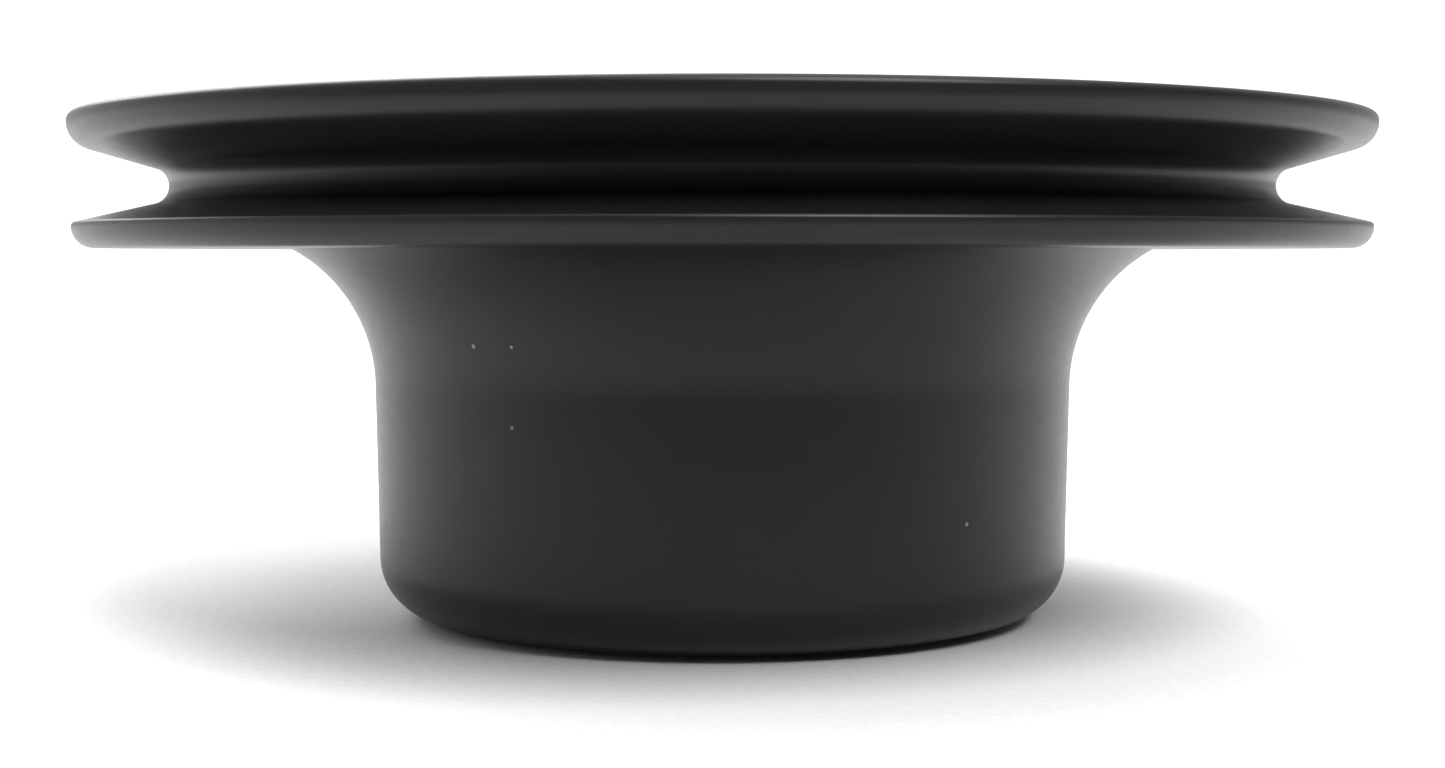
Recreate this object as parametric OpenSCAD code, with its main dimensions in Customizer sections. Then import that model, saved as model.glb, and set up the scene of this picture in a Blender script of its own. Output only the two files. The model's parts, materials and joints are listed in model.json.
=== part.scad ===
// Self-tailing sailboat winch, single speed, with a star gear train inside the drum.
// Origin at the centre of the deck face, +Z up the drum's axis, tailing arm towards +Y.

/* [Drum] */
// Radius of the drum's working face at its foot
drum_r = 40.6; // [40.2:0.1:41]
// Radius of the drum's working face where the flare starts
drum_top_r = 41; // [40.6:0.1:41.5]
// Radius of the rounded foot of the drum
foot_round = 6.8; // [6.5:0.1:7.5]
// Height of the drum's lowest edge above the deck
foot_gap = 0.4; // [0.4:0.1:1]
// Height at which the flare starts
flare_z = 27.2; // [26:0.1:28]
// Radius of the flare's curve
flare_r = 18.5; // [17.5:0.1:19.5]

/* [Rope jaws] */
// Radius of the rim, the widest part of the winch
rim_r = 75; // [74.9:0.1:76]
// Radius of the lower jaw's lip
lip_r = 74.65; // [74:0.05:75]
// Height of the lower jaw's flat underside
jaw_z = 43.4; // [43.2:0.1:43.6]
// Radius of the rounding under the lower jaw's lip
lip_round = 2.4; // [2.3:0.1:3]
// Radius of the small rounding on top of the lower jaw's lip
lip_edge = 0.5; // [0.3:0.05:0.8]
// Radius of the rope groove's root
root_r = 64; // [63:0.1:65]
// Radius of the curve at the rope groove's root
root_round = 2.16; // [2:0.02:2.3]
// Height of the middle of the rope groove's root
root_z = 50.4; // [50:0.1:50.6]
// Radius of the rounding under the rim
rim_round = 2.7; // [2.3:0.1:3]
// Radius of the small rounding on the rim's top edge
rim_edge = 0.86; // [0.5:0.02:1]
// Height of the rim's top face
rim_top = 58.3; // [58:0.1:58.6]

/* [Gears] */
// Module of the gears
gear_m = 1.2; // [1.19:0.005:1.2]
// Pressure angle of the gears
pressure_a = 25; // [24:0.5:25]
// Teeth of the ring gear in the drum
ring_n = 52; // [52]
// Teeth of the sun gear round the spindle
sun_n = 26; // [26]
// Teeth of each idler gear
idler_n = 13; // [13]
// Free play between meshing teeth, at the pitch circle
backlash = 0.14; // [0.1:0.01:0.2]

/* [Drive] */
// Width across the flats of the handle socket
socket_w = 17.5; // [17.4:0.05:17.6]
// Depth of the handle socket
socket_depth = 26; // [24:0.5:27]
// Radius of the spindle's head
head_r = 14.5; // [14.4:0.05:14.6]
// Height of the spindle's top
head_z = 60; // [59.8:0.1:60.2]

/* [Deck fixing] */
// Radius of the base plate
base_r = 34.4; // [34.2:0.1:34.5]
// Radius of the deck bolt holes
bolt_hole_r = 3.3; // [3.2:0.05:3.4]
// Distance between the deck bolts, across the arm
bolt_x = 30; // [29:0.5:30]
// Distance between the deck bolts, along the arm
bolt_y = 46; // [45:0.5:46]

/* [Tailing arm] */
// Width of the arm over the rim
arm_w = 18; // [16:0.5:20]
// Height of the arm's top face
arm_top = 64; // [63.5:0.1:65]
// Distance from the winch's axis to the back of the arm's leg
leg_y = 83; // [82.5:0.1:84]
// Thickness of the line guide's foot behind the leg
guide_t = 4; // [3.5:0.1:5]

/* [Hidden] */
$fn = 96;
eps = 0.01;

// Fits: a sliding or turning pair has run, two still parts side by side have seat
run = 0.05;
seat = 0.03;

// Colours
black = [0.035, 0.035, 0.037];
bronze = [0.62, 0.46, 0.25];
steel = [0.66, 0.67, 0.69];
nylon = [0.85, 0.84, 0.78];
dark = [0.10, 0.10, 0.11];

// Heights of the layers, from the deck up
plinth_t = 1.4;
plate_edge_t = 4.2;
plate_t = 5;
circlip_z = 4.6;
circlip_t = 0.95;
ratchet_z = 5.6;
ratchet_h = 5;
boss_top = 10.3;
gear_z = 11.1;
gear_h = 7.5;
stem_z = 19;
stem_plate_t = 3;
lip_z = 23;
lip_t = 2;
lower_cage_z = 25.3;
spacer_z = 34.6;
upper_cage_z = 42;
race_washer_z = 51.3;
seam_z = 49;
flange_z = 52;
flange_t = 4.5;
stem_top = 54;
hub_t = 4.5;

// Radii of the nested parts, from the axis out
foot_journal_r = 6;
foot_bush_r = 8;
carrier_r = 9.6;
neck_r = 10.5;
stem_bore_r = 11.2;
boss_r = 13;
head_bush_r = 16.6;
stem_wide_r = 18;
cap_bore_r = 20;
journal_r = 27.5;
lip_bore_r = 28.2;
stem_plate_r = 29.8;
shoulder_r = 30.4;
washer_r = 31.6;
plinth_r = 32.4;
cavity_r = 34.8;
circlip_r = 35.8;
spigot_r = 44;

// Heights inside the stem's bore
bore_cone_z = 25;
bore_wide_z = 31;
head_bush_z = 43.2;
cap_thread_z = 50;

// Roller bearings between the stem and the drum
roller_n = 18;
roller_r = 2.4;
roller_h = 6.4;
cage_h = 9;
cage_out = 31.5;
cage_in = 28.2;
roller_sink = (cage_h - roller_h) / 2;
race_r = journal_r + 2 * roller_r + 2 * run;
roller_pcr = (journal_r + race_r) / 2;

// Deck bolts and the spindle's foot bush
bolt_sink = 2.8;
bolt_head_r = 6.2;
foot_bush_z = 2.8;

// Pins, screws and keys
pillar_r = 4.6;
pin_r = 3;
pin_z = 2;
pawl_pin_r = 1.5;
spring_post_r = 0.8;
stem_screw_r = 2.5;
stem_screw_z = 3.4;
stem_thread = 13;
arm_thread = 9;
jaw_thread = 10;
pin_top = 2.6;
screw_r = 2;
screw_clear = 0.1;
screw_head_z = 2.2;
screw_head_r = 3.6;
screw_hex_r = 1.25;
counterbore_r = 3.8;
jaw_key_r = 1.5;
jaw_key_h = 7.6;
ring_key_r = 1.3;
ring_key_h = 13.2;
guide_screw_r = 1.5;

// Gear geometry: tooth tips and roots lie this many modules from the pitch circle
tip_part = 0.9;
root_gap = 1.15;
sun_root = 1.2;
ring_pr = gear_m * ring_n / 2;
sun_pr = gear_m * sun_n / 2;
idler_pr = gear_m * idler_n / 2;
idler_cr = sun_pr + idler_pr;
idler_bush_r = 4.2;
idler_angles = [90, 210, 330];
pillar_angles = [30, 150, 270];

// Ratchets: teeth, then each pawl's pivot, length, heel, nose and angles
root_part = 0.5;
hold_n = 20;
hold_tip = 30.6;
hold_root = 32.8;
hold_pivot = 24.4;
hold_pivot_a = 8;
hold_len = 10.8;
hold_heel = 2.6;
hold_nose = 1;
hold_bite_a = 58;
hold_swing = 16;
hold_face_a = 18.8;
hold_pawl_z = 5.9;
hold_pawl_h = 4.4;
hold_post = [-5.2, -2.5];
drive_n = 12;
drive_tip = 10.9;
drive_root = 12.7;
drive_pivot = 6.8;
drive_len = 6;
drive_heel = 1.8;
drive_nose = 0.7;
drive_bite_a = 50;
drive_swing = 30;
drive_face_a = 29.4;
drive_teeth_z = 13;
drive_pawl_z = 13.4;
drive_pawl_h = 4.9;
pocket_gap = 0.2;

// Spindle: neck, edge of the head and the groove of the foot's snap ring
neck_top = 30;
head_edge = 0.6;
foot_groove_r = 5.2;
foot_groove_z = 1.5;

// Top parts
hub_r = 32.6;
collar_in = 28.2;
collar_top = 60.4;
hub_bore_r = 20.1;
arm_under = 59.1;
leg_bottom = 47;
arm_screw_angles = [30, 90, 150, 210, 270, 330];
arm_screw_r = 23.9;
guide_screw_z = [49.5, 55];
guide_sink = 2;
cap_z = 58.6;
cap_r = 27.6;
cap_t = 2;
cap_in = 15.2;
cap_hole_r = 1.6;
cap_hole_pcr = 22;
seal_z = 55.6;
seal_h = 1.8;
seal_r = 16.4;
jaw_bore = 33.4;
jaw_screw_angles = [0, 60, 120, 180, 240, 300];
jaw_screw_r = 38.4;
jaw_key_angles = [30, 150, 270];
ring_key_angles = [45, 135, 225, 315];

// ---------- shared shapes ----------

// A ring: outer and inner radius, between two heights
module ring(ro, ri, z0, z1) {
    translate([0, 0, z0])
        difference() {
            cylinder(r = ro, h = z1 - z0);
            translate([0, 0, -1]) cylinder(r = ri, h = z1 - z0 + 2);
        }
}

module at_angles(angles, r) {
    for (a = angles) rotate(a) translate([r, 0, 0]) children();
}

function inv(a) = tan(a) * 180 / PI - a;
function roll(rb, r) = r <= rb ? 0 : inv(acos(rb / r));

// Half the angle of a gear tooth at radius r; slack widens it or narrows it
function half_tooth(n, r, slack) =
    90 / n + slack / (gear_m * n) * 180 / PI + inv(pressure_a)
    - roll(gear_m * n / 2 * cos(pressure_a), r);

function polar(r, a) = [r * cos(a), r * sin(a)];

// Outline of a gear with n teeth between two radii
function gear_points(n, r_in, r_out, slack) = let (steps = 4)
    [for (i = [0 : n - 1]) let (a = 360 / n * i)
        each concat(
            [for (k = [0 : steps]) let (r = r_in + (r_out - r_in) * k / steps)
                polar(r, a - half_tooth(n, r, slack))],
            [for (k = [steps : -1 : 0]) let (r = r_in + (r_out - r_in) * k / steps)
                polar(r, a + half_tooth(n, r, slack))])];

// Outline of n saw teeth: a steep face, a flat root half a pitch long, then a ramp
function saw_points(n, r_low, r_high, side) =
    [for (i = [0 : n - 1]) let (a = 360 / n * i * side)
        each [polar(r_low, a), polar(r_high, a), polar(r_high, a + side * root_part * 360 / n)]];

// Outline of a pawl: round heel at the origin, nose along +X
module pawl_outline(len, heel, half_w, grow) {
    polygon([[0, -heel - grow], [len + grow, -half_w - grow], [len + grow, half_w + grow],
        [0, heel + grow]]);
}

// A straight leaf from p to q
module strip(p, q, w, h) {
    v = q - p;
    translate([p.x, p.y, 0]) rotate(atan2(v.y, v.x)) translate([0, -w / 2, 0]) cube([norm(v), w, h]);
}

module pan_screw(shank_r, shank_l, head_r, head_h, hex_r) {
    difference() {
        union() {
            translate([0, 0, -shank_l]) cylinder(r = shank_r, h = shank_l + eps);
            cylinder(r = head_r, h = head_h);
        }
        translate([0, 0, head_h * 0.4]) cylinder(r = hex_r, h = head_h, $fn = 6);
    }
}

// ---------- base ----------

module base_plate() {
    color(dark) difference() {
        union() {
            cylinder(r = plinth_r, h = plate_t);
            translate([0, 0, plinth_t]) cylinder(r = base_r, h = plate_edge_t - plinth_t);
            cylinder(r = boss_r, h = boss_top);
            at_angles(pillar_angles, idler_cr) cylinder(r = pillar_r, h = stem_z);
        }
        translate([0, 0, -1]) cylinder(r = foot_bush_r + 1, h = 1 + foot_bush_z - 0.1);
        translate([0, 0, -1]) cylinder(r = foot_bush_r, h = boss_top + 2);
        for (x = [-1, 1], y = [-1, 1]) translate([x * bolt_x / 2, y * bolt_y / 2, 0]) {
            translate([0, 0, -1]) cylinder(r = bolt_hole_r, h = plate_t + 2);
            translate([0, 0, plate_t - bolt_sink])
                cylinder(r1 = bolt_hole_r, r2 = bolt_head_r, h = bolt_sink + 0.1);
        }
        at_angles(pillar_angles, idler_cr) {
            translate([0, 0, -1]) cylinder(r = pillar_r - 0.3, h = 1 + stem_screw_z);
            cylinder(r = stem_screw_r + run, h = stem_z + 1);
        }
        at_angles(idler_angles, idler_cr) translate([0, 0, pin_z]) cylinder(r = pin_r, h = plate_t);
        hold_pawl_sites() translate([0, 0, pin_z]) cylinder(r = pawl_pin_r, h = plate_t);
        hold_pawl_sites() translate([hold_post.x, hold_post.y, pin_z])
            cylinder(r = spring_post_r, h = plate_t);
    }
}

module hold_pawl_site(i) {
    rotate(180 * i + hold_pivot_a) translate([hold_pivot, 0, 0]) children();
}

module hold_pawl_sites() {
    for (i = [0, 1]) hold_pawl_site(i) children();
}

module center_stem() {
    color(dark) difference() {
        union() {
            translate([0, 0, stem_z]) cylinder(r = stem_plate_r, h = stem_plate_t);
            translate([0, 0, stem_z + 1]) cylinder(r = journal_r, h = stem_top - stem_z - 1);
        }
        translate([0, 0, stem_z - 1]) cylinder(r = stem_bore_r, h = stem_top);
        translate([0, 0, bore_cone_z])
            cylinder(r1 = stem_bore_r, r2 = stem_wide_r, h = bore_wide_z - bore_cone_z);
        translate([0, 0, bore_wide_z - eps])
            cylinder(r = stem_wide_r, h = head_bush_z - 0.2 - bore_wide_z + eps);
        translate([0, 0, bore_wide_z]) cylinder(r = head_bush_r, h = stem_top);
        translate([0, 0, cap_thread_z]) cylinder(r = cap_bore_r, h = stem_top);
        at_angles(idler_angles, idler_cr) translate([0, 0, stem_z - 1]) cylinder(r = pin_r, h = 1 + pin_top);
        at_angles(pillar_angles, idler_cr)
            translate([0, 0, stem_z - 1]) cylinder(r = stem_screw_r, h = 1 + stem_thread);
        at_angles(arm_screw_angles, arm_screw_r)
            translate([0, 0, stem_top - arm_thread]) cylinder(r = screw_r, h = arm_thread + 1);
    }
}

module stem_screws() {
    color(steel) at_angles(pillar_angles, idler_cr) translate([0, 0, stem_screw_z])
        mirror([0, 0, 1]) pan_screw(stem_screw_r, 27, 4.2, 2.8, 2);
}

module idler_pins() {
    color(steel) at_angles(idler_angles, idler_cr) translate([0, 0, pin_z])
        cylinder(r = pin_r - run, h = stem_z + pin_top - pin_z);
}

module hold_pawl_pins() {
    color(steel) hold_pawl_sites() translate([0, 0, pin_z]) cylinder(r = pawl_pin_r, h = 8.9);
}

// Hairpin springs: a coil on a post, one leg on the pawl's back, one on the base's boss
module hold_pawl_springs() {
    color(steel) hold_pawl_sites() translate([hold_post.x, hold_post.y, 0]) {
        translate([0, 0, pin_z]) cylinder(r = spring_post_r, h = 7.8);
        translate([0, 0, 6.9]) cylinder(r = 1.4, h = 2);
        translate([0, 0, 7.1]) strip([0.6, -0.6], [4.9, -4.7], 0.5, 0.6);
        translate([0, 0, 8.1]) strip([-0.6, -0.6], [-5.5, -1.9], 0.5, 0.6);
    }
}

module lower_spindle_bush() {
    color(bronze) ring(foot_bush_r, foot_journal_r + run, foot_bush_z, boss_top);
}

module upper_spindle_bush() {
    color(bronze) ring(head_bush_r, head_r + run, head_bush_z, cap_thread_z - 0.2);
}

module sun_washer() {
    color(nylon) ring(boss_r, foot_journal_r + 0.3, boss_top, gear_z - 0.1);
}

module drum_thrust_washer() {
    color(nylon) ring(stem_plate_r, journal_r + 0.1, stem_z + stem_plate_t, lip_z - run);
}

module bearing_spacer() {
    color(nylon) ring(washer_r, journal_r + run, spacer_z, upper_cage_z - 0.3);
}

module bearing_washer() {
    color(steel) ring(washer_r, journal_r + run, race_washer_z, race_washer_z + 1);
}

// A ring of rollers, grown by a margin on every side where it cuts the cage's windows
module roller_ring(z, margin) {
    for (i = [0 : roller_n - 1]) rotate(360 / roller_n * i)
        translate([roller_pcr, 0, z + roller_sink - margin])
            cylinder(r = roller_r + margin, h = roller_h + 2 * margin, $fn = 48);
}

module cage_at(z) {
    color(nylon) difference() {
        ring(cage_out, cage_in, z, z + cage_h);
        roller_ring(z, 0.1);
    }
}

module lower_cage() { cage_at(lower_cage_z); }
module lower_rollers() { color(steel) roller_ring(lower_cage_z, 0); }
module upper_cage() { cage_at(upper_cage_z); }
module upper_rollers() { color(steel) roller_ring(upper_cage_z, 0); }

// ---------- top: arm, guide and cap ----------

module tailing_arm() {
    color(black) difference() {
        union() {
            ring(hub_r, hub_bore_r, stem_top, stem_top + hub_t);
            ring(hub_r, collar_in, stem_top, collar_top);
            arm_body();
            stripper();
        }
        translate([0, 0, stem_top + hub_t]) cylinder(r = collar_in, h = 20);
        at_angles(arm_screw_angles, arm_screw_r) {
            translate([0, 0, stem_top - 1]) cylinder(r = screw_r + screw_clear, h = 20);
            translate([0, 0, stem_top + screw_head_z]) cylinder(r = counterbore_r, h = 20);
        }
        for (z = guide_screw_z) translate([0, leg_y - 5, z]) rotate([-90, 0, 0])
            cylinder(r = guide_screw_r, h = 8);
    }
}

// Beam over the rim and leg down behind it: a side view and a plan view, crossed
module arm_body() {
    intersection() {
        rotate([90, 0, 90]) translate([0, 0, -40]) linear_extrude(80)
            polygon([[20, arm_under], [20, 60.6], [38, arm_top], [leg_y - 6, arm_top],
                [leg_y - 1.6, arm_top - 1], [leg_y, arm_top - 3], [leg_y, leg_bottom],
                [leg_y - 5.5, leg_bottom], [leg_y - 5.5, arm_under + 0.8],
                [leg_y - 6.3, arm_under]]);
        linear_extrude(100) {
            polygon([[-26, 18], [26, 18], [arm_w / 2 + 3, 40], [arm_w / 2, 55],
                [arm_w / 2, 100], [-arm_w / 2, 100], [-arm_w / 2, 55], [-arm_w / 2 - 3, 40]]);
        }
    }
    intersection() {
        ring(hub_r, collar_in, stem_top, arm_under + 1);
        translate([-20, 10, 0]) cube([40, 40, 80]);
    }
}

// Finger that lifts the line out of the rope groove
module stripper() {
    rotate([90, 0, 90]) translate([0, 0, -5]) linear_extrude(10)
        polygon([[65.6, 49.6], [69, 48.8], [leg_y - 5, 47.6], [leg_y - 5, 53.6], [69, 52],
            [65.6, 51.2]]);
}

module line_guide() {
    color(black) difference() {
        rotate([90, 0, 90]) translate([0, 0, -arm_w / 2]) linear_extrude(arm_w)
            polygon([[leg_y + seat, 58], [leg_y + guide_t - 1, 58], [leg_y + guide_t, 57],
                [leg_y + guide_t, 40], [leg_y - 3, 35.5], [60, 33], [55, 34], [54, 35.6],
                [56, 38], [leg_y - 6, 41.4], [leg_y + seat, 45]]);
        for (z = guide_screw_z) translate([0, leg_y - 1, z]) rotate([-90, 0, 0]) {
            cylinder(r = guide_screw_r + 2 * screw_clear, h = 20);
            translate([0, 0, guide_t + 1 - guide_sink]) cylinder(r = 3.1, h = guide_sink + 1);
        }
    }
}

module guide_screws() {
    color(steel) for (z = guide_screw_z) translate([0, leg_y + guide_t - guide_sink, z])
        rotate([-90, 0, 0]) pan_screw(guide_screw_r, 6.5, 2.9, 1.8, 1);
}

module arm_screws() {
    color(steel) at_angles(arm_screw_angles, arm_screw_r) translate([0, 0, stem_top + screw_head_z])
        pan_screw(screw_r, 10, screw_head_r, screw_head_z, screw_hex_r);
}

module top_cap() {
    color(black) difference() {
        rotate_extrude() difference() {
            union() {
                translate([cap_in, cap_thread_z + 0.5]) square([cap_bore_r - run - cap_in, 8.2]);
                translate([cap_in, cap_z]) square([cap_r - 1 - cap_in, cap_t]);
                translate([cap_in, cap_z]) square([cap_r - cap_in, 1]);
                translate([cap_r - 1, cap_z + 1]) circle(r = 1, $fn = 32);
            }
            translate([cap_in - 1, seal_z]) square([seal_r - cap_in + 1, seal_h]);
            translate([cap_in, cap_z + cap_t]) rotate(45) square(1.2, center = true);
        }
        at_angles(jaw_screw_angles, cap_hole_pcr) translate([0, 0, cap_z + 0.8])
            cylinder(r = cap_hole_r, h = cap_t, $fn = 32);
    }
}

module spindle_seal() {
    color(dark) ring(seal_r - 0.02, head_r + run, seal_z + run, seal_z + seal_h - run);
}

// ---------- drum ----------

// Tangent points of the two straight flanks of the rope groove
root_c = [root_r + root_round, root_z];
rim_c = [rim_r - rim_round, rim_top - rim_edge - 0.2];
rim_edge_c = [rim_r - rim_edge, rim_top - rim_edge];
lip_c = [lip_r - lip_round, jaw_z + lip_round];
lip_edge_c = [lip_r - lip_edge, jaw_z + lip_round];

// Slope of the straight line that touches two circles from opposite sides
function flank(dr, dz, radii) = acos(radii / norm([dr, dz])) - atan2(dr, dz);
up_a = flank(rim_c.x - root_c.x, rim_c.y - root_c.y, root_round + rim_round);
low_a = flank(lip_edge_c.x - root_c.x, root_c.y - lip_edge_c.y, root_round + lip_edge);

// The quarter of a circle that rounds a lower outer edge
module foot_quarter(r) {
    intersection() {
        circle(r = r);
        translate([0, -r]) square(r);
    }
}

module upper_jaw() {
    n = [-sin(up_a), cos(up_a)];
    color(black) difference() {
        rotate_extrude() difference() {
            union() {
                polygon([[spigot_r + seat, seam_z], [root_c.x + n.x * root_round, seam_z],
                    root_c + n * root_round, rim_c - n * rim_round, rim_c, [rim_r, rim_c.y],
                    [rim_r, rim_edge_c.y], rim_edge_c, [rim_edge_c.x, rim_top],
                    [61, rim_top], [57.5, rim_top - 1], [46, rim_top - 1],
                    [44, flange_z + flange_t], [jaw_bore, flange_z + flange_t],
                    [jaw_bore, flange_z + seat], [spigot_r + seat, flange_z + seat]]);
                translate(rim_c) foot_quarter(rim_round);
                translate(rim_edge_c) circle(r = rim_edge, $fn = 48);
            }
            translate(root_c) circle(r = root_round);
        }
        at_angles(jaw_screw_angles, jaw_screw_r) {
            translate([0, 0, flange_z - 1]) cylinder(r = screw_r + screw_clear, h = 9);
            translate([0, 0, flange_z + screw_head_z]) cylinder(r = counterbore_r, h = 9);
        }
        jaw_key_holes();
    }
}

module lower_jaw() {
    n = [sin(low_a), cos(low_a)];
    color(black) difference() {
        rotate_extrude() difference() {
            union() {
                polygon([[spigot_r + seat, jaw_z], [lip_c.x, jaw_z], lip_c, lip_edge_c,
                    lip_edge_c + n * lip_edge, root_c - n * root_round,
                    [root_c.x - n.x * root_round, seam_z - seat],
                    [spigot_r + seat, seam_z - seat]]);
                translate(lip_c) foot_quarter(lip_round);
                translate(lip_edge_c) circle(r = lip_edge, $fn = 48);
            }
            translate(root_c) circle(r = root_round);
        }
        jaw_key_holes();
    }
}

module drum() {
    color(black) difference() {
        rotate_extrude() difference() {
            union() {
                polygon([[0, foot_gap], [drum_r - foot_round, foot_gap],
                    [drum_r - foot_round, foot_gap + foot_round],
                    [drum_r, foot_gap + foot_round], [drum_top_r, flare_z], [0, flare_z]]);
                translate([drum_r - foot_round, foot_gap + foot_round]) circle(r = foot_round);
                difference() {
                    translate([0, flare_z]) square([drum_top_r + flare_r, jaw_z - flare_z]);
                    translate([drum_top_r + flare_r, flare_z]) circle(r = flare_r);
                }
                translate([0, jaw_z - 1]) square([spigot_r, flange_z - jaw_z + 1]);
            }
            translate([-1, -1]) square([cavity_r + 1, stem_z + 1]);
            translate([-1, stem_z - 1]) square([shoulder_r + 1, lip_z - stem_z + 1]);
            translate([-1, lip_z - 1]) square([lip_bore_r + 1, lip_t + 2]);
            translate([-1, lip_z + lip_t]) square([race_r + 1, flange_z]);
            translate([0, circlip_z - seat]) square([circlip_r, ratchet_z - circlip_z + seat]);
        }
        at_angles(ring_key_angles, cavity_r)
            translate([0, 0, ratchet_z]) cylinder(r = ring_key_r, h = ring_key_h + 0.2);
        at_angles(jaw_screw_angles, jaw_screw_r)
            translate([0, 0, flange_z - jaw_thread]) cylinder(r = screw_r, h = jaw_thread + 1);
        jaw_key_holes();
    }
}

module jaw_key_holes() {
    at_angles(jaw_key_angles, spigot_r)
        translate([0, 0, jaw_z + 0.6]) cylinder(r = jaw_key_r, h = jaw_key_h + 0.3);
}

module jaw_keys() {
    color(steel) at_angles(jaw_key_angles, spigot_r)
        translate([0, 0, jaw_z + 0.7]) cylinder(r = jaw_key_r - seat, h = jaw_key_h);
}

module jaw_screws() {
    color(steel) at_angles(jaw_screw_angles, jaw_screw_r) translate([0, 0, flange_z + screw_head_z])
        pan_screw(screw_r, 9, screw_head_r, screw_head_z, screw_hex_r);
}

module ring_gear() {
    color(bronze) difference() {
        translate([0, 0, ratchet_z + ratchet_h + seat])
            cylinder(r = cavity_r - seat, h = stem_z - ratchet_z - ratchet_h - 2 * seat);
        translate([0, 0, plate_t]) rotate(180 / ring_n) linear_extrude(20) polygon(
            gear_points(ring_n, ring_pr - tip_part * gear_m, ring_pr + root_gap * gear_m, backlash / 4));
        ring_key_holes();
    }
}

module ratchet_ring() {
    color(bronze) difference() {
        translate([0, 0, ratchet_z]) cylinder(r = cavity_r - seat, h = ratchet_h);
        translate([0, 0, plate_t]) rotate(hold_pivot_a - hold_face_a) linear_extrude(20)
            polygon(saw_points(hold_n, hold_tip, hold_root, 1));
        ring_key_holes();
    }
}

module ring_key_holes() {
    at_angles(ring_key_angles, cavity_r) translate([0, 0, plate_t]) cylinder(r = ring_key_r, h = 20);
}

module ring_keys() {
    color(steel) at_angles(ring_key_angles, cavity_r)
        translate([0, 0, ratchet_z + 0.1]) cylinder(r = ring_key_r - seat, h = ring_key_h);
}

// Open snap ring under the two toothed rings
module ring_circlip() {
    color(steel) difference() {
        ring(circlip_r - 0.2, circlip_r - 2.8, circlip_z, circlip_z + circlip_t);
        translate([0, -3, 0]) cube([60, 6, 20]);
    }
}

// ---------- drive ----------

module spindle() {
    color(steel) difference() {
        rotate_extrude() polygon([[0, 0.8], [foot_journal_r, 0.8], [foot_journal_r, gear_z - run],
            [carrier_r, gear_z - run], [carrier_r, stem_z + 0.3], [neck_r, stem_z + 0.3],
            [neck_r, neck_top], [head_r, neck_top + head_r - neck_r + 1],
            [head_r, head_z - head_edge], [head_r - head_edge, head_z], [0, head_z]]);
        for (a = [0, 45]) rotate(a) translate([-socket_w / 2, -socket_w / 2, head_z - socket_depth])
            cube([socket_w, socket_w, socket_depth + 1]);
        translate([0, 0, head_z - 1]) cylinder(r1 = socket_w * 0.66, r2 = socket_w * 0.74, h = 1 + eps);
        ring(foot_journal_r + 1, foot_groove_r, foot_groove_z, foot_groove_z + 1);
        drive_pawl_sites() translate([0, 0, drive_pawl_z - pocket_gap]) {
            pocket_h = drive_pawl_h + 2 * pocket_gap;
            cylinder(r = drive_heel + run, h = pocket_h);
            linear_extrude(pocket_h) for (t = [0 : 1 / 3 : 1]) rotate(drive_bite_a + drive_swing * t)
                pawl_outline(drive_len, drive_heel, drive_nose, pocket_gap + run);
            // Room for the spring behind the retracted pawl
            linear_extrude(pocket_h) rotate(drive_bite_a + drive_swing)
                polygon([[0.8, 1], [6.6, 0], [6.6, 1.75], [0.8, 2.75]]);
        }
    }
}

module spindle_circlip() {
    color(steel) difference() {
        ring(7.8, foot_groove_r + seat, foot_groove_z + run, foot_groove_z + 1 - run);
        translate([0, -1.6, 0]) cube([20, 3.2, 5]);
    }
}

module drive_pawl_site(i) {
    rotate(180 * i) translate([drive_pivot, 0, 0]) children();
}

module drive_pawl_sites() {
    for (i = [0, 1]) drive_pawl_site(i) children();
}

module drive_pawl(i) {
    color(steel) drive_pawl_site(i) translate([0, 0, drive_pawl_z]) {
        cylinder(r = drive_heel, h = drive_pawl_h);
        linear_extrude(drive_pawl_h) rotate(drive_bite_a + drive_swing)
            pawl_outline(drive_len, drive_heel, drive_nose, 0);
    }
}

module drive_pawl_1() { drive_pawl(0); }
module drive_pawl_2() { drive_pawl(1); }

// Leaf springs behind the drive pawls
module drive_pawl_springs() {
    edge = 0.8;
    color(steel) drive_pawl_sites() translate([0, 0, drive_pawl_z + edge])
        linear_extrude(drive_pawl_h - 2 * edge) rotate(drive_bite_a + drive_swing)
            polygon([[1.2, 1.95], [5.9, 1.05], [5.9, 1.3], [1.2, 2.65]]);
}

module hold_pawl(i) {
    color(steel) hold_pawl_site(i) translate([0, 0, hold_pawl_z]) difference() {
        union() {
            cylinder(r = hold_heel, h = hold_pawl_h);
            linear_extrude(hold_pawl_h) rotate(-hold_bite_a - hold_swing)
                pawl_outline(hold_len, hold_heel, hold_nose, 0);
        }
        translate([0, 0, -1]) cylinder(r = pawl_pin_r + run, h = hold_pawl_h + 2);
    }
}

module hold_pawl_1() { hold_pawl(0); }
module hold_pawl_2() { hold_pawl(1); }

module sun_gear() {
    color(bronze) difference() {
        translate([0, 0, gear_z]) linear_extrude(gear_h) polygon(
            gear_points(sun_n, sun_pr - sun_root * gear_m, sun_pr + tip_part * gear_m, -backlash / 4));
        translate([0, 0, drive_teeth_z]) rotate(drive_face_a) linear_extrude(20)
            polygon(saw_points(drive_n, drive_tip, drive_root, -1));
        cylinder(r = carrier_r + run, h = 30);
    }
}

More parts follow.
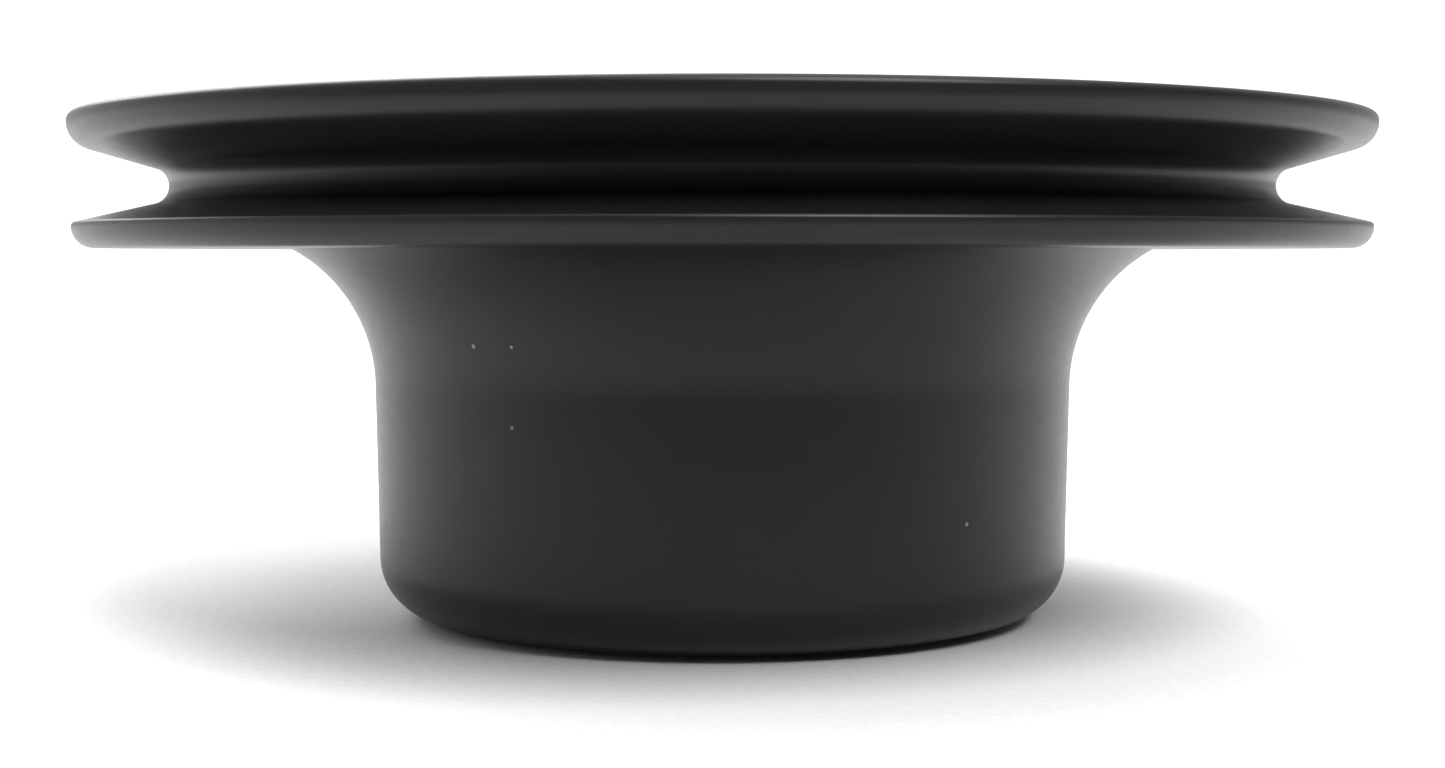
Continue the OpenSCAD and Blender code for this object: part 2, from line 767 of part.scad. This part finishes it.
module idler_gear(i) {
    a = idler_angles[i];
    // Turned so that its teeth meet the sun's spaces and the ring's spaces
    sun_pitch = 360 / sun_n;
    phase = (a - sun_pitch * floor(a / sun_pitch)) / sun_pitch;
    color(bronze) translate([idler_cr * cos(a), idler_cr * sin(a), gear_z]) difference() {
        rotate(a + 180 - (0.5 - phase) * 360 / idler_n) linear_extrude(gear_h) polygon(
            gear_points(idler_n, idler_pr - root_gap * gear_m, idler_pr + tip_part * gear_m,
                -backlash / 4));
        translate([0, 0, -1]) cylinder(r = idler_bush_r, h = gear_h + 2);
    }
}

module idler_bush(i) {
    color(steel) translate([idler_cr * cos(idler_angles[i]), idler_cr * sin(idler_angles[i]), 0])
        ring(idler_bush_r, pin_r, gear_z, gear_z + gear_h);
}

module idler_gear_1() { idler_gear(0); }
module idler_gear_2() { idler_gear(1); }
module idler_gear_3() { idler_gear(2); }
module idler_bush_1() { idler_bush(0); }
module idler_bush_2() { idler_bush(1); }
module idler_bush_3() { idler_bush(2); }

base_plate();
center_stem();
stem_screws();
idler_pins();
hold_pawl_pins();
hold_pawl_springs();
lower_spindle_bush();
upper_spindle_bush();
sun_washer();
drum_thrust_washer();
bearing_spacer();
bearing_washer();
tailing_arm();
arm_screws();
line_guide();
guide_screws();
top_cap();
spindle_seal();
drum();
lower_jaw();
upper_jaw();
jaw_keys();
jaw_screws();
ring_gear();
ratchet_ring();
ring_keys();
ring_circlip();
spindle();
spindle_circlip();
drive_pawl_springs();
drive_pawl_1();
drive_pawl_2();
sun_gear();
idler_gear_1();
idler_gear_2();
idler_gear_3();
idler_bush_1();
idler_bush_2();
idler_bush_3();
hold_pawl_1();
hold_pawl_2();
lower_cage();
lower_rollers();
upper_cage();
upper_rollers();
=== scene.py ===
import json
import math

import bmesh
import bpy
from mathutils import Matrix, Vector


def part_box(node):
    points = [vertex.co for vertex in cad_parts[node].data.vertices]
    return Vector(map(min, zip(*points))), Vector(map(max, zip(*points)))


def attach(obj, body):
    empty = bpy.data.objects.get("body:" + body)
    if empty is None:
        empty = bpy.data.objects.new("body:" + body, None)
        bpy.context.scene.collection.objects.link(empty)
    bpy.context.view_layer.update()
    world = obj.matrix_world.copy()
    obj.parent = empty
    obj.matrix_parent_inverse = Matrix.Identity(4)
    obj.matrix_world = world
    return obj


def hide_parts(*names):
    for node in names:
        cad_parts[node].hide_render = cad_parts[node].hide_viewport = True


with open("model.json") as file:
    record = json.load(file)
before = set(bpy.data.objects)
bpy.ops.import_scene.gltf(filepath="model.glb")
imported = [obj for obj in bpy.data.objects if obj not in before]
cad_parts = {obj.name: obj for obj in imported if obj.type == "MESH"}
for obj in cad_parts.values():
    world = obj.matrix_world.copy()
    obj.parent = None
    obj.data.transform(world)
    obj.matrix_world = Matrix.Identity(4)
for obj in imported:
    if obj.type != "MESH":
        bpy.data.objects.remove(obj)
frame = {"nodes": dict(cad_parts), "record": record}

NODES = frame["nodes"]
SLOT_OF = {part["node"]: part["material_slot"] for part in frame["record"]["subparts"]}
BODY_OF = {node: body for body, held in frame["record"]["behaviour"]["bodies"].items() for node in held}
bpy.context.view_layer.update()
MM = 0.001


# ---------- camera ----------

# Lens, distance and height of the camera, in rim radii where the view depends on the object's size
RIM_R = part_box("upper_jaw")[1][0]
CAMERA_DISTANCE = 3.651 * RIM_R
CAMERA_HEIGHT = 0.5673 * RIM_R
CAMERA_PITCH = 3.2
CAMERA_LENS = 57.18


def make_camera():
    data = bpy.data.cameras.new("camera")
    data.lens = CAMERA_LENS
    data.sensor_width = 36
    data.clip_start = 0.01
    obj = bpy.data.objects.new("camera", data)
    obj.location = (0, -CAMERA_DISTANCE, CAMERA_HEIGHT)
    obj.rotation_euler = (math.radians(90 - CAMERA_PITCH), 0, 0)
    bpy.context.scene.collection.objects.link(obj)
    bpy.context.scene.camera = obj


# ---------- stage and light ----------

FLOOR_HALF = 30.0
# Brightness of the paper, and how far its fibres vary it
FLOOR_WHITE, PAPER_GRAIN = 0.86, 0.03
FIBRE_SCALE, FIBRE_DETAIL = 900, 3
FLOOR_ROUGH, FLOOR_SPECULAR = 0.9, 0.1
# Painted dark reflection: reflection rays see the paper near black further in front, standing in for a dark
# room; it fades in between these two places
DARK_REFLECTION_NEAR, DARK_REFLECTION_FAR = -1.9 * RIM_R, -3.4 * RIM_R
DARK_REFLECTION_COLOR = (0.06, 0.06, 0.06)
# Each light's name, strength, angular size, height above the horizon and turn from the back, in degrees
SUNS = (("overhead", 1.2, 60, 86, 40), ("front_right", 3.2, 36, 52, 150), ("back_left", 1.6, 40, 38, 330))
WORLD_STRENGTH = 1.05
WORLD_FRONT = 0.04
WORLD_TURN = 30
# A pale band along the horizon: its brightness and where it ends, as the sine of the height
HORIZON, HORIZON_IN, HORIZON_OUT = 0.6, 0.03, 0.14
RAMP_DARK, RAMP_WHITE = 0.15, 0.85
# Brightness of the world where the camera sees it directly
PLAIN_WHITE = 1.2


def make_floor():
    mesh = bpy.data.meshes.new("floor")
    corners = [(x * FLOOR_HALF, y * FLOOR_HALF, 0) for x, y in ((-1, -1), (1, -1), (1, 1), (-1, 1))]
    mesh.from_pydata(corners, [], [(0, 1, 2, 3)])
    floor = bpy.data.objects.new("floor", mesh)
    bpy.context.scene.collection.objects.link(floor)
    mat = bpy.data.materials.new("floor_paper")
    mat.use_nodes = True
    nodes, links = mat.node_tree.nodes, mat.node_tree.links
    shader = nodes["Principled BSDF"]
    shader.inputs["Roughness"].default_value = FLOOR_ROUGH
    shader.inputs["Specular IOR Level"].default_value = FLOOR_SPECULAR
    place = nodes.new("ShaderNodeNewGeometry")
    split = nodes.new("ShaderNodeSeparateXYZ")
    links.new(place.outputs["Position"], split.inputs[0])
    front = nodes.new("ShaderNodeMapRange")
    front.interpolation_type = "SMOOTHSTEP"
    front.inputs["From Min"].default_value = DARK_REFLECTION_NEAR
    front.inputs["From Max"].default_value = DARK_REFLECTION_FAR
    links.new(split.outputs["Y"], front.inputs["Value"])
    # Painted dark reflection: only reflection rays see the paper turn near black further in front, standing
    # in for a dark room
    path = nodes.new("ShaderNodeLightPath")
    dark_reflection = nodes.new("ShaderNodeMath")
    dark_reflection.operation = "MULTIPLY"
    links.new(path.outputs["Is Glossy Ray"], dark_reflection.inputs[0])
    links.new(front.outputs["Result"], dark_reflection.inputs[1])
    color = nodes.new("ShaderNodeMix")
    color.data_type = "RGBA"
    links.new(dark_reflection.outputs[0], color.inputs["Factor"])
    fibres = nodes.new("ShaderNodeTexNoise")
    fibres.inputs["Scale"].default_value = FIBRE_SCALE
    fibres.inputs["Detail"].default_value = FIBRE_DETAIL
    links.new(place.outputs["Position"], fibres.inputs["Vector"])
    paper = nodes.new("ShaderNodeMapRange")
    paper.inputs["From Min"].default_value = 0.3
    paper.inputs["From Max"].default_value = 0.7
    paper.inputs["To Min"].default_value = FLOOR_WHITE - PAPER_GRAIN
    paper.inputs["To Max"].default_value = FLOOR_WHITE + PAPER_GRAIN
    links.new(fibres.outputs["Fac"], paper.inputs["Value"])
    links.new(paper.outputs["Result"], color.inputs[6])
    color.inputs[7].default_value = (*DARK_REFLECTION_COLOR, 1)
    links.new(color.outputs[2], shader.inputs["Base Color"])
    mesh.materials.append(mat)


def make_suns():
    """Broad soft lights: overhead, high in front on the right, and behind on the left."""
    for name, strength, size, height, turn in SUNS:
        data = bpy.data.lights.new(name, "SUN")
        data.energy = strength
        data.angle = math.radians(size)
        obj = bpy.data.objects.new(name, data)
        up, round_z = math.radians(height), math.radians(turn)
        toward = Vector((math.sin(round_z) * math.cos(up), math.cos(round_z) * math.cos(up), math.sin(up)))
        obj.location = toward
        obj.rotation_euler = toward.to_track_quat("Z", "Y").to_euler()
        bpy.context.scene.collection.objects.link(obj)


def make_world():
    """White studio behind and at the sides, a dark room in front; the camera sees plain white."""
    world = bpy.data.worlds.new("studio")
    bpy.context.scene.world = world
    world.use_nodes = True
    nodes, links = world.node_tree.nodes, world.node_tree.links
    back = nodes["Background"]
    back.inputs["Strength"].default_value = WORLD_STRENGTH
    coord = nodes.new("ShaderNodeTexCoord")
    turn = nodes.new("ShaderNodeVectorRotate")
    turn.rotation_type = "Z_AXIS"
    turn.inputs["Angle"].default_value = math.radians(-WORLD_TURN)
    links.new(coord.outputs["Generated"], turn.inputs["Vector"])
    split = nodes.new("ShaderNodeSeparateXYZ")
    links.new(turn.outputs[0], split.inputs[0])
    depth = nodes.new("ShaderNodeMapRange")
    depth.inputs["From Min"].default_value = -1
    links.new(split.outputs["Y"], depth.inputs["Value"])
    ramp = nodes.new("ShaderNodeValToRGB")
    links.new(depth.outputs["Result"], ramp.inputs["Fac"])
    ramp.color_ramp.elements[0].position = RAMP_DARK
    ramp.color_ramp.elements[0].color = (WORLD_FRONT, WORLD_FRONT, WORLD_FRONT, 1)
    ramp.color_ramp.elements[1].position = RAMP_WHITE
    ramp.color_ramp.elements[1].color = (1, 1, 1, 1)
    height = nodes.new("ShaderNodeMath")
    height.operation = "ABSOLUTE"
    links.new(split.outputs["Z"], height.inputs[0])
    band = nodes.new("ShaderNodeMapRange")
    band.interpolation_type = "SMOOTHSTEP"
    band.inputs["From Min"].default_value = HORIZON_OUT
    band.inputs["From Max"].default_value = HORIZON_IN
    band.inputs["To Max"].default_value = HORIZON
    links.new(height.outputs[0], band.inputs["Value"])
    lighter = nodes.new("ShaderNodeMath")
    lighter.operation = "MAXIMUM"
    links.new(ramp.outputs["Color"], lighter.inputs[0])
    links.new(band.outputs["Result"], lighter.inputs[1])
    path = nodes.new("ShaderNodeLightPath")
    mix = nodes.new("ShaderNodeMix")
    mix.data_type = "RGBA"
    links.new(path.outputs["Is Camera Ray"], mix.inputs["Factor"])
    links.new(lighter.outputs[0], mix.inputs[6])
    white = PLAIN_WHITE / WORLD_STRENGTH
    mix.inputs[7].default_value = (white, white, white, 1)
    links.new(mix.outputs[2], back.inputs["Color"])


# ---------- turned and bevelled pieces ----------

SEGMENTS = 288
SHARP_ANGLE = math.radians(28)
# Before bevelling, points closer than this are joined and faces flatter than this are merged
WELD, FLAT_ANGLE = 0.001 * MM, math.radians(0.3)

# Profile of the turned pieces, in mm: what the frame's boxes don't give
FOOT_ROUND, DRUM_R, DRUM_TOP_R, FLARE_Z, FLARE_R = 6.8, 40.6, 41, 27.2, 18.5
SPIGOT_R, FLANGE_T, JAW_BORE, SEAM_Z = 44, 4.5, 33.4, 49
CAVITY_R, CAVITY_TOP, SHOULDER_R, LIP_Z, LIP_T, LIP_BORE, RACE_R = 34.8, 19, 30.4, 23, 2, 28.2, 32.4
CIRCLIP_R, CIRCLIP_LOW, CIRCLIP_TOP = 35.8, 4.57, 5.6
LIP_ROUND, LIP_EDGE = 2.4, 0.5
ROOT_R, ROOT_ROUND, ROOT_Z = 64, 2.16, 50.4
RIM_ROUND, RIM_EDGE, RIM_DROP = 2.7, 0.86, 0.2
# The shallow dish in the upper jaw's top: its two outer radii, its two inner ones and its depth
DISH_R, DISH_FLOOR_R, DISH_HUB_R, DISH_WEB_R, DISH_DEPTH = 61, 57.5, 46, 44, 1
SEAT = 0.03
SCREW_ANGLES, SCREW_PCR, SCREW_R, SCREW_CLEAR_R = range(0, 360, 60), 38.4, 2, 2.1
SCREW_DEPTH, COUNTERBORE_R, COUNTERBORE_LOW = 10, 3.8, 2.2
JAW_KEY_ANGLES, JAW_KEY_R, JAW_KEY_LOW, JAW_KEY_TOP = (30, 150, 270), 1.5, 0.6, 8.5
RING_KEY_ANGLES, RING_KEY_R, RING_KEY_H = (45, 135, 225, 315), 1.3, 13.4

drum_low, drum_top = (v[2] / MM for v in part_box("drum"))
jaw_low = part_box("lower_jaw")[0][2] / MM
lip_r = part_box("lower_jaw")[1][0] / MM
rim_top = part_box("upper_jaw")[1][2] / MM
rim_r = RIM_R / MM


def arc(center, radius, start, end, steps=10):
    """Points of an arc, angles in degrees from the +r direction."""
    angles = [math.radians(start + (end - start) * i / steps) for i in range(steps + 1)]
    return [(center[0] + radius * math.cos(a), center[1] + radius * math.sin(a)) for a in angles]


def flank_angle(dr, dz, radii):
    """Slope of the straight line that touches two circles from opposite sides."""
    return math.degrees(math.acos(radii / math.hypot(dr, dz)) - math.atan2(dr, dz))


def shade(mesh):
    mesh.shade_smooth()
    mesh.set_sharp_from_angle(angle=SHARP_ANGLE)


def add_piece(name, mesh, node):
    """A finer version of a CAD node, in its place."""
    mesh.materials.clear()
    mesh.materials.append(MATERIALS[SLOT_OF[node]])
    obj = bpy.data.objects.new(name, mesh)
    bpy.context.scene.collection.objects.link(obj)
    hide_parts(node)
    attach(obj, BODY_OF[node])


def lathe(name, outline):
    """A closed outline of (r, z) points in mm, turned round the Z axis."""
    count = len(outline)
    points, faces = [], []
    for i in range(SEGMENTS):
        a = 2 * math.pi * i / SEGMENTS
        points += [(r * MM * math.cos(a), r * MM * math.sin(a), z * MM) for r, z in outline]
    for i in range(SEGMENTS):
        here, there = i * count, (i + 1) % SEGMENTS * count
        for k in range(count):
            n = (k + 1) % count
            faces.append((here + k, there + k, there + n, here + n))
    mesh = bpy.data.meshes.new(name)
    mesh.from_pydata(points, [], faces)
    return mesh


def cut_round(mesh, holes):
    """Cut round holes: (x, y, radius, low, high) in mm."""
    tools = bmesh.new()
    for x, y, radius, low, high in holes:
        middle = Matrix.Translation(Vector((x, y, (low + high) / 2)) * MM)
        bmesh.ops.create_cone(tools, cap_ends=True, segments=48, radius1=radius * MM, radius2=radius * MM,
                              depth=(high - low) * MM, matrix=middle)
    cutter_mesh = bpy.data.meshes.new("cutter")
    tools.to_mesh(cutter_mesh)
    tools.free()
    body, cutter = (bpy.data.objects.new(n, m) for n, m in (("body", mesh), ("cutter", cutter_mesh)))
    for obj in (body, cutter):
        bpy.context.scene.collection.objects.link(obj)
    change = body.modifiers.new("cut", "BOOLEAN")
    change.operation, change.object, change.solver = "DIFFERENCE", cutter, "EXACT"
    done = bpy.data.meshes.new_from_object(body.evaluated_get(bpy.context.evaluated_depsgraph_get()))
    for obj in (body, cutter):
        bpy.data.objects.remove(obj)
    shade(done)
    return done


def on_circle(angles, pcr, radius, low, high):
    turns = [math.radians(a) for a in angles]
    return [(pcr * math.cos(t), pcr * math.sin(t), radius, low, high) for t in turns]


def jaw_key_holes():
    return on_circle(JAW_KEY_ANGLES, SPIGOT_R, JAW_KEY_R, jaw_low + JAW_KEY_LOW, jaw_low + JAW_KEY_TOP)


def turned_drum():
    center = (DRUM_R - FOOT_ROUND, drum_low + FOOT_ROUND)
    flare = (DRUM_TOP_R + FLARE_R, FLARE_Z)
    outline_foot = math.degrees(math.asin((CAVITY_R - center[0]) / FOOT_ROUND)) - 90
    flare_end = math.degrees(math.acos(-math.sqrt(1 - ((jaw_low - FLARE_Z) / FLARE_R) ** 2)))
    outline = arc(center, FOOT_ROUND, outline_foot, 0, 16)
    rise, widen = FLARE_Z - center[1], DRUM_TOP_R - DRUM_R
    outline += [(DRUM_R + widen * i / 6, center[1] + rise * i / 6) for i in range(1, 6)]
    outline += arc(flare, FLARE_R, 180, flare_end, 24)
    outline += [(SPIGOT_R, jaw_low), (SPIGOT_R, drum_top), (RACE_R, drum_top), (RACE_R, LIP_Z + LIP_T)]
    outline += [(LIP_BORE, LIP_Z + LIP_T), (LIP_BORE, LIP_Z), (SHOULDER_R, LIP_Z), (SHOULDER_R, CAVITY_TOP)]
    outline += [(CAVITY_R, CAVITY_TOP), (CAVITY_R, CIRCLIP_TOP), (CIRCLIP_R, CIRCLIP_TOP)]
    outline += [(CIRCLIP_R, CIRCLIP_LOW), (CAVITY_R, CIRCLIP_LOW)]
    holes = on_circle(SCREW_ANGLES, SCREW_PCR, SCREW_R, drum_top - SCREW_DEPTH, drum_top + 2)
    holes += on_circle(RING_KEY_ANGLES, CAVITY_R, RING_KEY_R, CIRCLIP_TOP, CIRCLIP_TOP + RING_KEY_H)
    add_piece("drum_shell", cut_round(lathe("drum_shell", outline), holes + jaw_key_holes()), "drum")


def turned_jaws():
    root = (ROOT_R + ROOT_ROUND, ROOT_Z)
    rim = (rim_r - RIM_ROUND, rim_top - RIM_EDGE - RIM_DROP)
    rim_edge = (rim_r - RIM_EDGE, rim_top - RIM_EDGE)
    lip = (lip_r - LIP_ROUND, jaw_low + LIP_ROUND)
    lip_edge = (lip_r - LIP_EDGE, jaw_low + LIP_ROUND)
    up = flank_angle(rim[0] - root[0], rim[1] - root[1], ROOT_ROUND + RIM_ROUND)
    low = flank_angle(lip_edge[0] - root[0], root[1] - lip_edge[1], ROOT_ROUND + LIP_EDGE)
    seam_start = math.degrees(math.acos(-math.sqrt(1 - ((SEAM_Z - ROOT_Z) / ROOT_ROUND) ** 2)))

    outline = [(SPIGOT_R + SEAT, jaw_low)] + arc(lip, LIP_ROUND, -90, 0, 14)
    outline += arc(lip_edge, LIP_EDGE, 0, 90 - low, 8)
    outline += arc(root, ROOT_ROUND, 270 - low, 360 - seam_start, 8) + [(SPIGOT_R + SEAT, SEAM_Z - SEAT)]
    lower = cut_round(lathe("lower_jaw_disc", outline), jaw_key_holes())
    add_piece("lower_jaw_disc", lower, "lower_jaw")

    flange = drum_top
    outline = [(SPIGOT_R + SEAT, SEAM_Z)] + arc(root, ROOT_ROUND, 360 - seam_start, 90 + up, 14)
    outline += arc(rim, RIM_ROUND, -90 + up, 0, 14) + arc(rim_edge, RIM_EDGE, 0, 90, 10)
    outline += [(DISH_R, rim_top), (DISH_FLOOR_R, rim_top - DISH_DEPTH)]
    outline += [(DISH_HUB_R, rim_top - DISH_DEPTH), (DISH_WEB_R, flange + FLANGE_T)]
    outline += [(JAW_BORE, flange + FLANGE_T), (JAW_BORE, flange + SEAT), (SPIGOT_R + SEAT, flange + SEAT)]
    holes = on_circle(SCREW_ANGLES, SCREW_PCR, SCREW_CLEAR_R, flange - 1, flange + 8)
    sinks = on_circle(SCREW_ANGLES, SCREW_PCR, COUNTERBORE_R, flange + COUNTERBORE_LOW, flange + 11)
    mesh = cut_round(cut_round(lathe("upper_jaw_disc", outline), holes), sinks)
    add_piece("upper_jaw_disc", cut_round(mesh, jaw_key_holes()), "upper_jaw")


def flat_faces_kept(mesh):
    """The same mesh with normals led by its largest faces: they look flat beside small bevels."""
    body = bpy.data.objects.new("body", mesh)
    bpy.context.scene.collection.objects.link(body)
    change = body.modifiers.new("normals", "WEIGHTED_NORMAL")
    change.keep_sharp = True
    done = bpy.data.meshes.new_from_object(body.evaluated_get(bpy.context.evaluated_depsgraph_get()))
    bpy.data.objects.remove(body)
    return done


def bevelled(node, width):
    """A CAD node with its sharp edges broken."""
    shape = bmesh.new()
    shape.from_mesh(NODES[node].data)
    shape.transform(NODES[node].matrix_world)
    bmesh.ops.remove_doubles(shape, verts=shape.verts, dist=WELD)
    bmesh.ops.dissolve_limit(shape, angle_limit=FLAT_ANGLE, verts=shape.verts, edges=shape.edges)
    sharp = [e for e in shape.edges if len(e.link_faces) == 2 and e.calc_face_angle() > SHARP_ANGLE]
    bmesh.ops.bevel(shape, geom=sharp, offset=width * MM, segments=2, profile=0.5, affect="EDGES",
                    clamp_overlap=True)
    mesh = bpy.data.meshes.new(node + "_bevelled")
    shape.to_mesh(mesh)
    shape.free()
    shade(mesh)
    add_piece(node + "_finished", flat_faces_kept(mesh), node)


# Pieces that show from above and behind, and how far their edges are broken, in mm
BEVELS = {"tailing_arm": 0.5, "line_guide": 0.5, "top_cap": 0.25, "spindle": 0.15}


# ---------- materials ----------

class Graph:
    """Short calls for building one material's nodes."""

    def __init__(self, name):
        self.mat = bpy.data.materials.new(name)
        self.mat.use_nodes = True
        self.nodes, self.links = self.mat.node_tree.nodes, self.mat.node_tree.links
        self.shader = self.nodes["Principled BSDF"]
        self.place = self.nodes.new("ShaderNodeTexCoord").outputs["Object"]

    def node(self, kind, **values):
        made = self.nodes.new("ShaderNode" + kind)
        for key, value in values.items():
            setattr(made, key, value)
        return made

    def link(self, a, b):
        self.links.new(a, b)

    def math(self, op, a, b=None):
        made = self.node("Math", operation=op)
        for socket, value in zip(made.inputs, (a, b)):
            if value is None:
                continue
            if isinstance(value, (int, float)):
                socket.default_value = value
            else:
                self.link(value, socket)
        return made.outputs[0]

    def noise(self, scale, detail=2.0, place=None):
        made = self.node("TexNoise")
        made.inputs["Scale"].default_value = scale
        made.inputs["Detail"].default_value = detail
        self.link(place or self.place, made.inputs["Vector"])
        return made.outputs["Fac"]

    def ramp(self, value, stops):
        made = self.node("ValToRGB")
        points = made.color_ramp.elements
        while len(points) < len(stops):
            points.new(0.5)
        for point, (at, color) in zip(points, stops):
            point.position = at
            point.color = (*color, 1)
        self.link(value, made.inputs["Fac"])
        return made.outputs["Color"]

    def mix(self, factor, a, b):
        made = self.node("Mix", data_type="RGBA")
        self.link(factor, made.inputs[0])
        for socket, value in ((made.inputs[6], a), (made.inputs[7], b)):
            if isinstance(value, tuple):
                socket.default_value = (*value, 1)
            else:
                self.link(value, socket)
        return made.outputs[2]

    def between(self, value, low, high):
        made = self.node("MapRange")
        made.inputs["To Min"].default_value = low
        made.inputs["To Max"].default_value = high
        self.link(value, made.inputs["Value"])
        return made.outputs["Result"]

    def bump(self, height, strength, distance, normal=None):
        made = self.node("Bump")
        made.inputs["Strength"].default_value = strength
        made.inputs["Distance"].default_value = distance
        self.link(height, made.inputs["Height"])
        if normal:
            self.link(normal, made.inputs["Normal"])
        return made.outputs["Normal"]

    def axial(self):
        """Distance from the Z axis, and height."""
        split = self.node("SeparateXYZ")
        self.link(self.place, split.inputs[0])
        square = self.math("ADD", self.math("MULTIPLY", split.outputs["X"], split.outputs["X"]),
                           self.math("MULTIPLY", split.outputs["Y"], split.outputs["Y"]))
        return self.math("SQRT", square), split.outputs["Z"]

    def turning(self, pitch):
        """Rings round the Z axis, pitch metres apart, on flat faces and round walls alike."""
        radius, height = self.axial()
        way = self.math("ADD", radius, height)
        return self.math("SINE", self.math("MULTIPLY", way, 2 * math.pi / pitch))

    def dots(self, scale, size, share):
        """Round dots of one size in a share of a grid's irregular cells."""
        cells = self.node("TexVoronoi")
        cells.inputs["Scale"].default_value = scale
        self.link(self.place, cells.inputs["Vector"])
        few = self.node("SeparateColor")
        self.link(cells.outputs["Color"], few.inputs[0])
        return self.math("MULTIPLY", self.math("LESS_THAN", cells.outputs["Distance"], size),
                         self.math("GREATER_THAN", few.outputs[0], 1 - share))

    def finish(self, color, rough, normal):
        for name, value in (("Base Color", color), ("Roughness", rough), ("Normal", normal)):
            self.link(value, self.shader.inputs[name])
        return self.mat


BLACK_LOW = (0.0078, 0.0083, 0.0072)
BLACK_HIGH = (0.0098, 0.0103, 0.0092)
BLACK_IOR = 1.33
BLACK_ROUGH = (0.31, 0.40)
STEEL_LOW, STEEL_HIGH = (0.24, 0.243, 0.247), (0.32, 0.324, 0.328)
DUST, PALE_SPECK = (0.20, 0.19, 0.18), (0.30, 0.27, 0.23)


def black_anodised():
    """Bead-blasted, hard anodised aluminium: satin black, fine grain, faint turning rings, dust."""
    g = Graph("black_anodised")
    g.shader.inputs["IOR"].default_value = BLACK_IOR
    tone = g.ramp(g.noise(60, 4), [(0.3, BLACK_LOW), (0.7, BLACK_HIGH)])
    dusty = g.mix(g.dots(230, 0.055, 0.08), tone, DUST)
    color = g.mix(g.dots(110, 0.035, 0.05), dusty, PALE_SPECK)
    rough = g.between(g.noise(900, 3), *BLACK_ROUGH)
    rings = g.bump(g.turning(0.45 * MM), 0.02, 0.02 * MM)
    radius, height = g.axial()
    along = g.node("CombineXYZ")
    g.link(g.math("ADD", radius, height), along.inputs["X"])
    lines = g.bump(g.noise(1400, 3, along.outputs[0]), 0.05, 0.03 * MM, rings)
    grain = g.bump(g.noise(5200, 2), 0.10, 0.03 * MM, lines)
    return g.finish(color, rough, grain)


def cast_dark():
    g = Graph("cast_base")
    color = g.ramp(g.noise(300, 5), [(0.3, (0.030, 0.031, 0.033)), (0.7, (0.050, 0.051, 0.054))])
    rough = g.between(g.noise(500, 3), 0.5, 0.65)
    return g.finish(color, rough, g.bump(g.noise(2200, 4), 0.25, 0.08 * MM))


def metal(name, low, high, rough_low, rough_high, pitch):
    """Machined metal: fine turning rings, small changes of colour and roughness."""
    g = Graph(name)
    g.shader.inputs["Metallic"].default_value = 1.0
    color = g.ramp(g.noise(180, 5), [(0.3, low), (0.7, high)])
    rough = g.between(g.noise(700, 4), rough_low, rough_high)
    rings = g.bump(g.turning(pitch), 0.06, 0.02 * MM)
    return g.finish(color, rough, g.bump(g.noise(3500, 2), 0.05, 0.02 * MM, rings))


def plastic(name, low, high, rough_low, rough_high):
    g = Graph(name)
    color = g.ramp(g.noise(250, 3), [(0.3, low), (0.7, high)])
    rough = g.between(g.noise(600, 3), rough_low, rough_high)
    return g.finish(color, rough, g.bump(g.noise(2600, 3), 0.12, 0.04 * MM))


def make_materials():
    made = {
        "black_anodised": black_anodised(),
        "cast_base": cast_dark(),
        "bronze": metal("bronze", (0.50, 0.33, 0.13), (0.62, 0.43, 0.19), 0.28, 0.42, 0.3 * MM),
        "spindle_steel": metal("spindle_steel", STEEL_LOW, STEEL_HIGH, 0.34, 0.46, 0.25 * MM),
        "steel": metal("steel", STEEL_LOW, STEEL_HIGH, 0.36, 0.48, 0.2 * MM),
        "bearing_nylon": plastic("bearing_nylon", (0.70, 0.69, 0.62), (0.78, 0.77, 0.70), 0.40, 0.52),
        "seal_rubber": plastic("seal_rubber", (0.012, 0.012, 0.012), (0.020, 0.020, 0.020), 0.55, 0.7),
    }
    for name, obj in NODES.items():
        obj.data.materials.clear()
        obj.data.materials.append(made[SLOT_OF[name]])
    return made


make_camera()
make_floor()
make_world()
make_suns()
MATERIALS = make_materials()
turned_drum()
turned_jaws()
for node, width in BEVELS.items():
    bevelled(node, width)
bpy.context.scene.view_settings.view_transform = "Standard"
